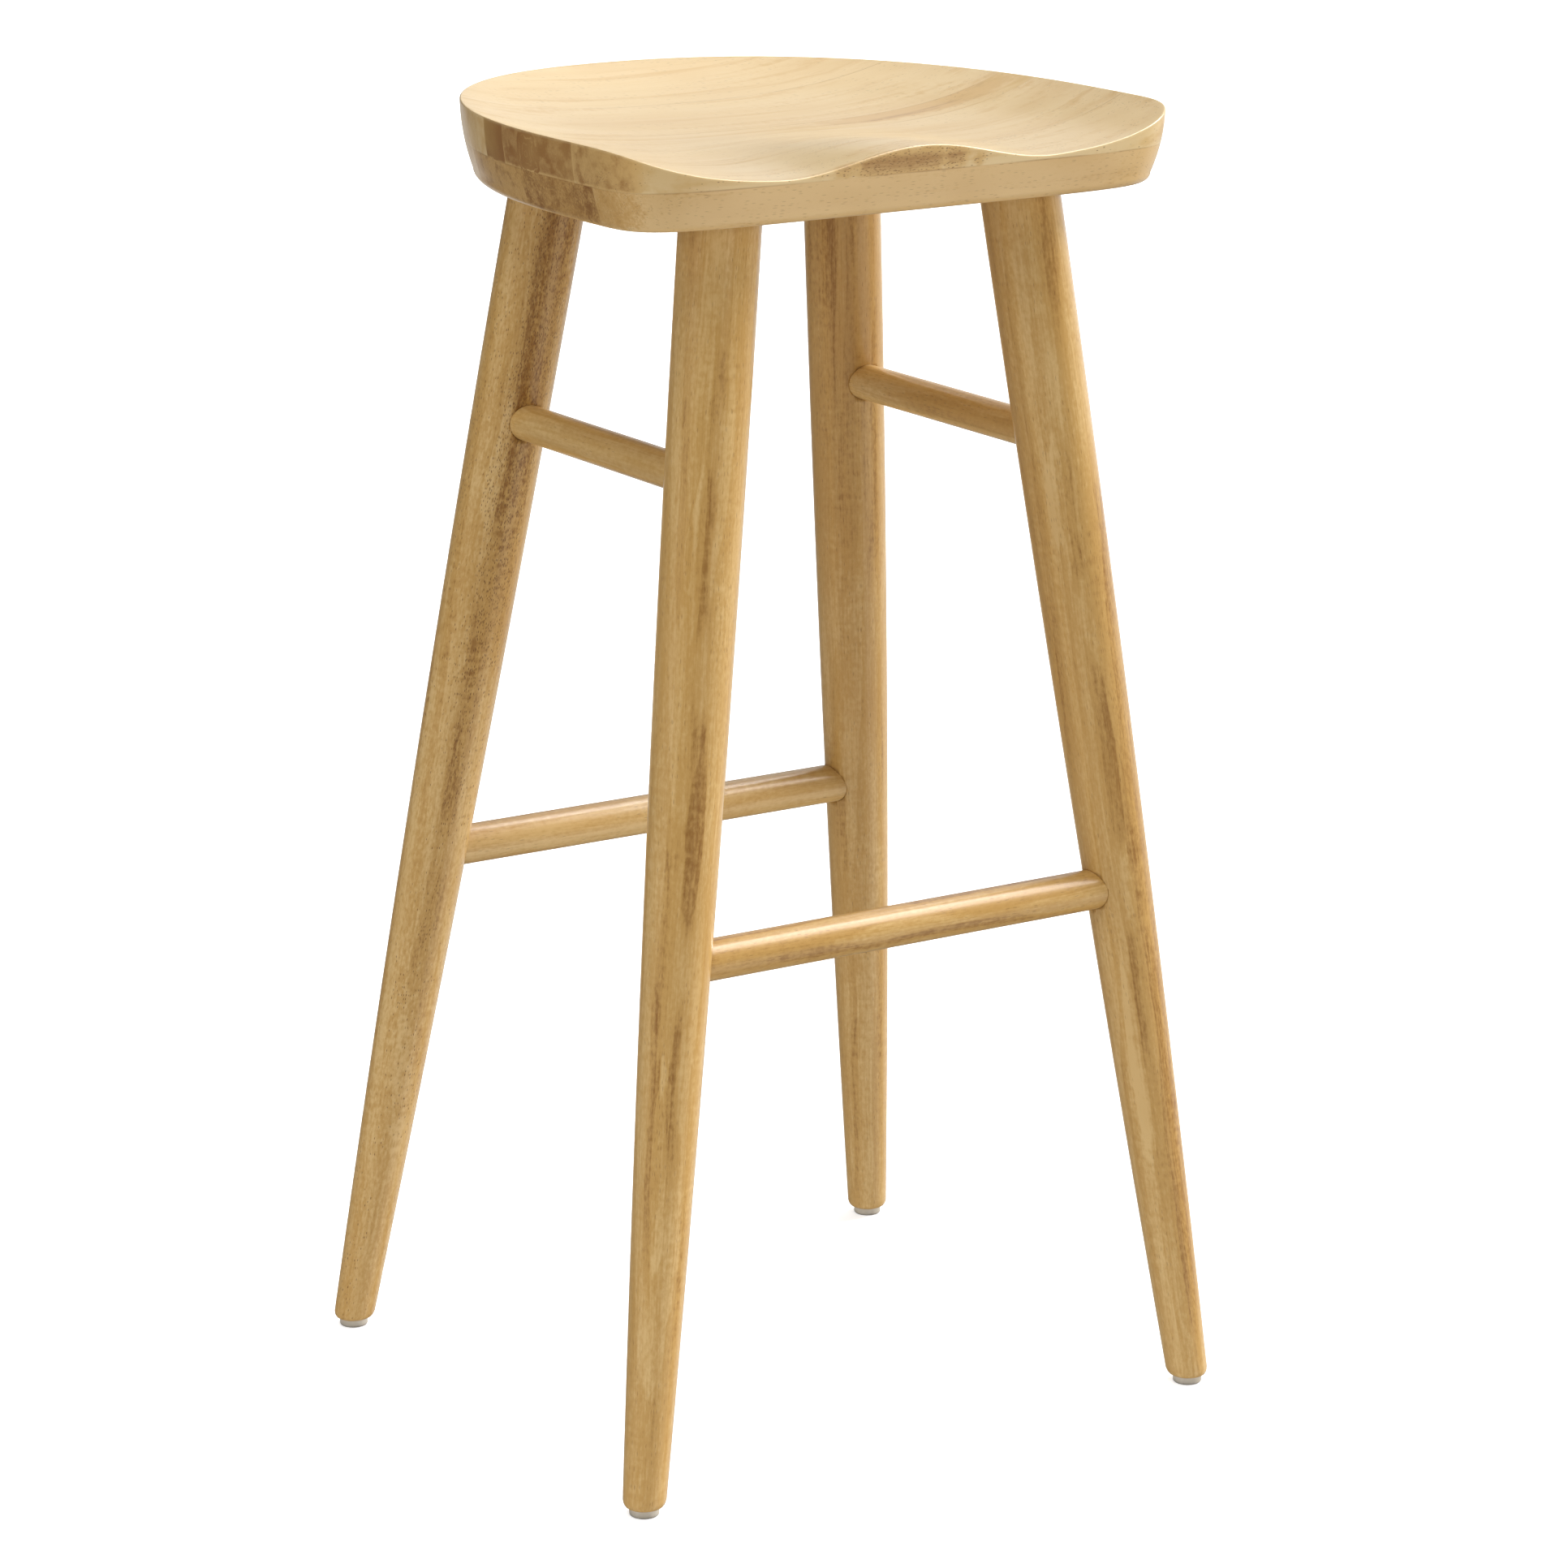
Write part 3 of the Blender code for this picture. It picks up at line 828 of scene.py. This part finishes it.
def growth_rings(nodes, place, look):
    """Bands round the pith line, wavy and uneven, darker towards each ring's outer edge."""
    pith_y, pith_z = look["pith"]
    across = nodes.stretch(place, RING_STRETCH, (0, -pith_y, -pith_z))
    distance = nodes.vector("LENGTH", across, output="Value")
    waver = nodes.noise(place, RING_WAVER_SCALE, detail=3)
    phase = nodes.math("DIVIDE", distance, look["ring_width"])
    phase = nodes.plus(phase, waver, RING_WAVER)
    turn = nodes.math("FRACT", phase)
    rise = nodes.step_up(turn, 0.15, 0.9)
    fall = nodes.step_up(turn, 1.0, 0.93)
    return nodes.math("MULTIPLY", rise, fall)


def ripple_figure(nodes, place):
    """Faint bars across the grain, in patches."""
    bars = nodes.noise(place, RIPPLE_SCALE, detail=1)
    patches = nodes.step_up(nodes.noise(place, RIPPLE_PATCH_SCALE, detail=1), 0.42, 0.66)
    lift = nodes.math("MULTIPLY", nodes.centred(bars), patches)
    return nodes.math("ADD", lift, 0.5)


def wood_pores(nodes, place, look, speckle):
    """Open pores: short dark dashes along the grain, and dots where the end grain shows."""
    scale = (1 / look["pore_length"], PORES_PER_METRE, PORES_PER_METRE)
    inputs = {"Vector": nodes.stretch(place, scale), "Scale": 1.0, "Randomness": 1.0}
    cells = nodes.add("TexVoronoi", {"feature": "F1"}, inputs)
    dash = nodes.step_up(cells.outputs["Distance"], 0.42, 0.16)
    chance = nodes.add("SeparateColor", {}, {0: cells.outputs["Color"]}).outputs[0]
    crowd = nodes.centred(nodes.noise(place, PORE_CROWD_SCALE, detail=2))
    crowd = nodes.plus(speckle, crowd, PORE_CROWDING)
    chance = nodes.math("ADD", chance, crowd)
    kept = nodes.step_up(chance, 1 - look["pore_share"], 1.05 - look["pore_share"])
    return nodes.math("MULTIPLY", dash, kept)


def seam_line(nodes, axis, position):
    """A thin line of glue where two boards meet, faint and uneven."""
    place = nodes.attribute("grain", "Vector")
    along = nodes.add("SeparateXYZ", {}, {0: place}).outputs[axis]
    distance = nodes.math("ABSOLUTE", nodes.math("SUBTRACT", along, position))
    line = nodes.step_up(distance, SEAM_HALF_WIDTH * 1.6, SEAM_HALF_WIDTH * 0.4)
    patchy = nodes.step_up(nodes.noise(place, SEAM_SCALE, detail=2), 0.25, 0.65)
    return nodes.math("MULTIPLY", nodes.math("MULTIPLY", line, patchy), SEAM_SHARE)


def streak_and_highlight_band(nodes, bearing, half_width, low, high):
    """A streak down one side of a turned leg, between two heights. With a positive tone strength it is dark
    wood, and with a negative one a pale painted highlight.

    The bearing is in degrees from +X towards +Y round the leg's axis.
    """
    place = nodes.attribute("grain", "Vector")
    around = nodes.vector("NORMALIZE", nodes.stretch(place, (0, 1, 1)))
    around = nodes.scattered(around, place, STREAK_WAVER_SCALE, STREAK_WAVER_REACH, detail=3)
    turn = math.radians(bearing)
    towards = (0, math.cos(turn), math.sin(turn))
    facing = nodes.vector("DOT_PRODUCT", around, towards, output="Value")
    edge = math.cos(math.radians(half_width))
    inner = math.cos(math.radians(half_width * STREAK_CORE))
    mask = nodes.step_up(facing, edge, inner)
    along = nodes.add("SeparateXYZ", {}, {0: place}).outputs[0]
    fade = min(STREAK_FADE, (high - low) / 2)
    mask = nodes.math("MULTIPLY", mask, nodes.step_up(along, low, low + fade))
    return nodes.math("MULTIPLY", mask, nodes.step_up(along, high, high - fade))


def wood_spot(nodes, middle, sizes, rings):
    """A knot, or a plain patch when it has no rings. The sizes are its halves on the three axes."""
    scale = tuple(1 / size for size in sizes)
    offset = tuple(-position / size for position, size in zip(middle, sizes))
    place = nodes.attribute("grain", "Vector")
    near = nodes.stretch(place, scale, offset)
    near = nodes.scattered(near, place, SPOT_WAVER_SCALE, SPOT_WAVER_REACH, detail=3)
    distance = nodes.vector("LENGTH", near, output="Value")
    mask = nodes.step_up(distance, 1.0, 0.55)
    if rings:
        phase = nodes.math("MULTIPLY", distance, rings * 2 * math.pi)
        wave = nodes.math("MULTIPLY", nodes.math("ADD", nodes.math("SINE", phase), 1.0), 0.5)
        mask = nodes.math("MULTIPLY", mask, wave)
    return mask


# A look's streaks and highlights are (bearing, half width, low, high, tone strength, speckle strength), with
# its angles in degrees; a negative tone strength paints a pale highlight band. Its spots are (middle, half
# sizes, rings, tone strength, speckle strength).
PALE = (0.66, 0.445, 0.185)
MIDDLE = (0.52, 0.305, 0.091)
DARK = (0.25, 0.106, 0.018)
WARM = (0.50, 0.276, 0.069)
PORE = (0.17, 0.075, 0.018)

LOOK = {
    "pale": PALE,
    "middle": MIDDLE,
    "dark": DARK,
    "warm": WARM,
    "pore_colour": PORE,
    "offset": (0, 0, 0),
    "pith": (0.03, -0.05),
    "ring_width": 0.009,
    "rings": 0.16,
    "bands": 0.26,
    "fibres": 0.60,
    "ripple": 0.40,
    "mottle": 0.60,
    "pores": 0.36,
    "pore_share": 0.14,
    "pore_length": 0.0048,
    "end": 0.22,
    "tone": 0.05,
    "roughness": 0.27,
    "streaks": (),
    "spots": (),
    "seams": (),
}


def wood_look(**changes):
    """The common look of the stool's wood, with changes."""
    return {**LOOK, **changes}


def top_board(**changes):
    """The boards of the upper layer are the palest, with a quiet grain and dark end grain."""
    quiet = {
        "pale": (0.71, 0.525, 0.265),
        "middle": (0.60, 0.38, 0.14),
        "dark": (0.28, 0.120, 0.022),
        "warm": (0.58, 0.36, 0.12),
        "rings": 0.05,
        "bands": 0.28,
        "fibres": 0.20,
        "mottle": 0.15,
        "pores": 0.40,
        "pore_share": 0.12,
        "end": 0.85,
    }
    return wood_look(**{**quiet, **changes})


def low_board(**changes):
    """The boards of the lower layer are a little paler, with broad faint rings and more pores."""
    quiet = {
        "pale": (0.68, 0.46, 0.205),
        "middle": (0.54, 0.315, 0.098),
        "rings": 0.07,
        "ring_width": 0.014,
        "ripple": 0.18,
        "pore_share": 0.25,
    }
    return wood_look(**{**quiet, **changes})


BOARD_LOOKS = {
    "seat_upper_front": top_board(
        offset=(0.4, 0.0, 0.0),
        pith=(-0.16, 0.71),
        tone=0.0,
        end=0.62,
        pores=0.7,
        pore_length=0.0024,
        spots=[((-0.012, -0.1745, 0.7405), (0.068, 0.008, 0.0210), 0, 0.47, 0.90)],
    ),
    "seat_upper_second": top_board(
        offset=(1.3, 0.2, 0.1),
        pith=(0.14, 0.78),
        end=0.72,
        spots=[((-0.18, -0.052, 0.749), (0.02, 0.014, 0.016), 4, 0.95, 0.1)],
    ),
    "seat_upper_middle": top_board(
        offset=(2.1, 0.5, 0.4),
        tone=0.14,
        end=0.95,
        warm=(0.60, 0.38, 0.10),
        spots=[((0.12, 0.0, 0.745), (0.11, 0.016, 0.03), 0, 0.30, 0.0)],
    ),
    "seat_upper_fourth": top_board(offset=(3.7, 0.1, 0.7), end=0.2),
    "seat_upper_rear": top_board(offset=(4.2, 0.6, 0.3), end=0.3),
    "seat_lower_front": low_board(offset=(5.4, 0.3, 0.2), pores=0.30, pore_share=0.32, end=0.40, tone=-0.10),
    "seat_lower_second": low_board(offset=(6.1, 0.2, 0.5), end=0.62),
    "seat_lower_middle": low_board(offset=(7.9, 0.4, 0.6), end=0.42),
    "seat_lower_fourth": low_board(offset=(8.3, 0.6, 0.1), end=0.1),
    "seat_lower_rear": low_board(offset=(9.6, 0.1, 0.3), end=0.2),
}

# The side of a leg that faces the camera, as a bearing in degrees from +X towards +Y.
CAMERA_SIDE = 238.0

LEG_LOOKS = {
    "leg_front_left": wood_look(
        offset=(0.2, 1.1, 0.4),
        pith=(1.13, 0.43),
        tone=0.22,
        streaks=[
            (CAMERA_SIDE + 13, 18, 0.16, 0.70, 0.43, 0.05),
            (CAMERA_SIDE - 24, 12, 0.10, 0.72, 0.24, 0.1),
            # Painted highlight: a pale band just left of the middle of the camera side, for the reflection of
            # a light in front.
            (CAMERA_SIDE - 7, 9, 0.05, 0.74, -0.22, 0.0),
        ],
    ),
    "leg_front_right": wood_look(
        offset=(0.9, 2.3, 1.4),
        pith=(2.34, 1.36),
        tone=0.18,
        streaks=[
            (CAMERA_SIDE + 8, 16, 0.15, 0.62, 0.34, 0.0),
            # Painted highlight: a pale band just left of the middle of the camera side, for the reflection of
            # a light in front.
            (CAMERA_SIDE - 12, 10, 0.10, 0.74, -0.26, 0.0),
            (CAMERA_SIDE - 55, 26, 0.35, 0.74, 0.16, 0.0),
            (CAMERA_SIDE + 26, 22, 0.60, 0.76, 0.36, 0.1),
            (CAMERA_SIDE + 46, 42, 0.00, 0.60, 0.32, 0.0),
        ],
    ),
    "leg_rear_left": wood_look(
        offset=(1.7, 3.5, 2.4),
        pith=(3.46, 2.44),
        tone=0.18,
        pores=0.85,
        pore_length=0.0026,
        ripple=0.7,
        mottle=1.0,
        streaks=[
            (CAMERA_SIDE + 26, 42, 0.40, 0.78, 0.34, 1.00),
            (CAMERA_SIDE + 14, 22, 0.18, 0.50, 0.30, 0.3),
            # Painted highlight: a pale band just left of the middle of the camera side, for the reflection of
            # a light in front.
            (CAMERA_SIDE - 4, 10, 0.30, 0.76, -0.25, 0.2),
        ],
    ),
    "leg_rear_right": wood_look(
        offset=(2.6, 4.2, 3.4),
        pith=(4.26, 3.38),
        tone=0.24,
        warm=(0.48, 0.25, 0.055),
        streaks=[(CAMERA_SIDE, 80, 0.42, 0.80, 0.20, 0.0)],
    ),
}

RAIL_LOOKS = {
    "footrest_front": wood_look(offset=(0.3, 5.1, 0.3), pith=(5.0, 0.6), tone=0.28, rings=0.25),
    "stretcher_rear": wood_look(offset=(1.2, 6.2, 0.7), pith=(6.3, 1.1), tone=0.10),
    "stretcher_left": wood_look(offset=(2.3, 7.3, 1.1), pith=(7.4, 1.6), tone=0.18),
    "stretcher_right": wood_look(offset=(3.1, 8.4, 1.6), pith=(8.3, 2.2), tone=0.20, rings=0.25),
}


# ---------------------------------------------------------------- plastic and steel


NYLON = (0.56, 0.50, 0.41)
NYLON_CLOUD = (0.50, 0.44, 0.35)
FLOOR_DIRT = (0.33, 0.29, 0.24)
STEEL_SHADE = (0.50, 0.50, 0.50)
STEEL_SHINE = (0.64, 0.63, 0.61)

# Lumps of each noise per metre.
CLOUD_SCALE = (160, 160, 160)
SCUFF_SCALE = (900, 900, 900)
SCRATCH_SCALE = (2600, 300, 300)

# How far up a glide the floor's dirt reaches, and how much of it there is.
DIRT_HEIGHT = 0.0022
DIRT_SHARE = 0.5


def moulded_plastic():
    """Pale nylon that lets a little light in, scuffed all over and dirty where it meets the floor."""
    nodes = Nodes("glide_plastic")
    place = nodes.add("TexCoord").outputs["Object"]
    cloud = nodes.noise(place, CLOUD_SCALE, detail=3)
    scuff = nodes.noise(place, SCUFF_SCALE, detail=4, roughness=0.7)
    along = nodes.add("SeparateXYZ", {}, {0: place}).outputs[2]
    low = nodes.step_up(along, DIRT_HEIGHT, 0.0)
    colour = nodes.mix(nodes.step_up(cloud, 0.35, 0.7), NYLON, NYLON_CLOUD)
    dirt = nodes.math("MULTIPLY", low, nodes.step_up(scuff, 0.45, 0.65))
    dirt = nodes.math("MULTIPLY", dirt, DIRT_SHARE)
    nodes.link(nodes.mix(dirt, colour, FLOOR_DIRT), "Base Color")
    nodes.link(nodes.plus(0.32, scuff, 0.3), "Roughness")
    nodes.link(nodes.bump(scuff, 0.1, 0.0001), "Normal")
    nodes.shader.inputs["Subsurface Weight"].default_value = 0.15
    nodes.shader.inputs["Subsurface Radius"].default_value = (0.002, 0.0015, 0.001)
    return nodes.material


def bright_steel():
    """Plain drawn steel with fine scratches on the nail's head."""
    nodes = Nodes("nail_steel")
    place = nodes.add("TexCoord").outputs["Object"]
    scratch = nodes.noise(place, SCRATCH_SCALE, detail=3)
    nodes.link(nodes.mix(scratch, STEEL_SHADE, STEEL_SHINE), "Base Color")
    nodes.link(nodes.plus(0.22, scratch, 0.25), "Roughness")
    nodes.link(nodes.bump(scratch, 0.08, 0.00005), "Normal")
    nodes.shader.inputs["Metallic"].default_value = 1.0
    return nodes.material


# ---------------------------------------------------------------- stage

# Lights: name, azimuth from the stool's front towards its right, elevation, share, spread, and what sees it.
# The angles are in degrees. The share is what a white surface that faces the light would give back.
LIGHTS = (
    ("key", 80, 31, 0.80, 18, "both"),
    ("low_right", 66, 8, 0.28, 26, "diffuse"),
    ("overhead", 98, 58, 0.33, 34, "both"),
    ("zenith", -60, 78, 0.22, 30, "diffuse"),
    ("rim", 135, 16, 0.26, 30, "diffuse"),
    ("front", 0, 8, 0.26, 26, "diffuse"),
    ("left", -100, 8, 0.24, 40, "diffuse"),
    ("high_left", -60, 58, 0.20, 30, "diffuse"),
    ("key_card", 72, 52, 0.64, 40, "glossy"),
    ("front_card", 36, -34, 0.06, 40, "glossy"),
    ("rear_card", 126, 14, 0.10, 50, "glossy"),
    ("left_card", 160, -16, 0.024, 24, "glossy"),
    ("right_card", 108, -8, 0.14, 60, "glossy"),
    ("high_rear_card", 148, 50, 0.10, 44, "glossy"),
)
BOUNCE_SHARE = 0.74
BOUNCE_SIZE = 5.0
BOUNCE_HEIGHT = 0.001
FLOOR_SIZE = 14.0
FLOOR_GREY = 0.80
FLOOR_GLOW = 0.6
WORLD_FILL = 0.17
WORLD_GLOSS = 0.09


def make_floor():
    """A plain pale floor that casts no light of its own on the stool."""
    build = bmesh.new()
    bmesh.ops.create_grid(build, x_segments=8, y_segments=8, size=FLOOR_SIZE)
    floor = new_piece("floor", build)
    material = bpy.data.materials.new("pale_floor")
    material.use_nodes = True
    shader = material.node_tree.nodes["Principled BSDF"]
    shader.inputs["Base Color"].default_value = (FLOOR_GREY, FLOOR_GREY, FLOOR_GREY, 1.0)
    shader.inputs["Roughness"].default_value = 0.9
    shader.inputs["Specular IOR Level"].default_value = 0.1
    shader.inputs["Emission Color"].default_value = (1.0, 1.0, 1.0, 1.0)
    shader.inputs["Emission Strength"].default_value = FLOOR_GLOW
    floor.data.materials.append(material)
    floor.visible_diffuse = False
    floor.visible_glossy = False
    floor.visible_shadow = False


def make_floor_bounce():
    """The light that the bright floor sends back up, strongest near the feet."""
    light = bpy.data.lights.new("bounce", "AREA")
    light.size = BOUNCE_SIZE
    light.energy = BOUNCE_SHARE * math.pi * BOUNCE_SIZE**2
    item = bpy.data.objects.new("bounce", light)
    item.location = (0, 0, BOUNCE_HEIGHT)
    item.rotation_euler = (math.pi, 0, 0)
    item.visible_camera = False
    item.visible_glossy = False
    bpy.context.scene.collection.objects.link(item)


def make_sun(name, azimuth, elevation, share, spread, seen_by):
    """A far soft light. The share is what a white surface that faces it would give back."""
    light = bpy.data.lights.new(name, "SUN")
    light.energy = share * math.pi
    light.angle = math.radians(spread)
    item = bpy.data.objects.new(name, light)
    turn = math.radians(azimuth)
    rise = math.radians(elevation)
    towards = Vector((math.sin(turn) * math.cos(rise), -math.cos(turn) * math.cos(rise), math.sin(rise)))
    item.rotation_mode = "QUATERNION"
    item.rotation_quaternion = towards.to_track_quat("Z", "Y")
    item.visible_diffuse = seen_by != "glossy"
    item.visible_glossy = seen_by != "diffuse"
    bpy.context.scene.collection.objects.link(item)


def make_world():
    """White behind the object, grey in its gloss, and dim as fill light."""
    world = bpy.data.worlds.new("studio")
    world.use_nodes = True
    bpy.context.scene.world = world
    tree = world.node_tree
    background = tree.nodes["Background"]
    path = tree.nodes.new("ShaderNodeLightPath")
    strength = 1.0
    for ray, level in (("Is Glossy Ray", WORLD_GLOSS), ("Is Diffuse Ray", WORLD_FILL)):
        choice = tree.nodes.new("ShaderNodeMix")
        tree.links.new(path.outputs[ray], choice.inputs["Factor"])
        if isinstance(strength, float):
            choice.inputs["A"].default_value = strength
        else:
            tree.links.new(strength, choice.inputs["A"])
        choice.inputs["B"].default_value = level
        strength = choice.outputs["Result"]
    tree.links.new(strength, background.inputs["Strength"])
    background.inputs["Color"].default_value = (1.0, 1.0, 1.0, 1.0)


def make_camera():
    """The photo's view: yaw, pitch and roll of a camera that starts level and looks along +Y."""
    data = bpy.data.cameras.new("camera")
    data.sensor_width = 36.0
    data.lens = CAMERA_LENS
    data.clip_start = 0.05
    data.clip_end = 100.0
    camera = bpy.data.objects.new("camera", data)
    turn = Matrix.Rotation(-CAMERA_YAW, 4, "Z") @ Matrix.Rotation(math.pi / 2 - CAMERA_PITCH, 4, "X")
    roll = Matrix.Rotation(CAMERA_ROLL, 4, "Z")
    camera.matrix_world = Matrix.Translation(CAMERA_PLACE) @ turn @ roll
    bpy.context.scene.collection.objects.link(camera)
    bpy.context.scene.camera = camera


def make_stage():
    """Floor, world, lights and camera, with colours shown as they are."""
    make_floor()
    make_world()
    make_floor_bounce()
    for light in LIGHTS:
        make_sun(*light)
    make_camera()
    bpy.context.scene.view_settings.view_transform = "Standard"


make_stage()
make_seat()
make_rails()
make_legs()
make_glides()
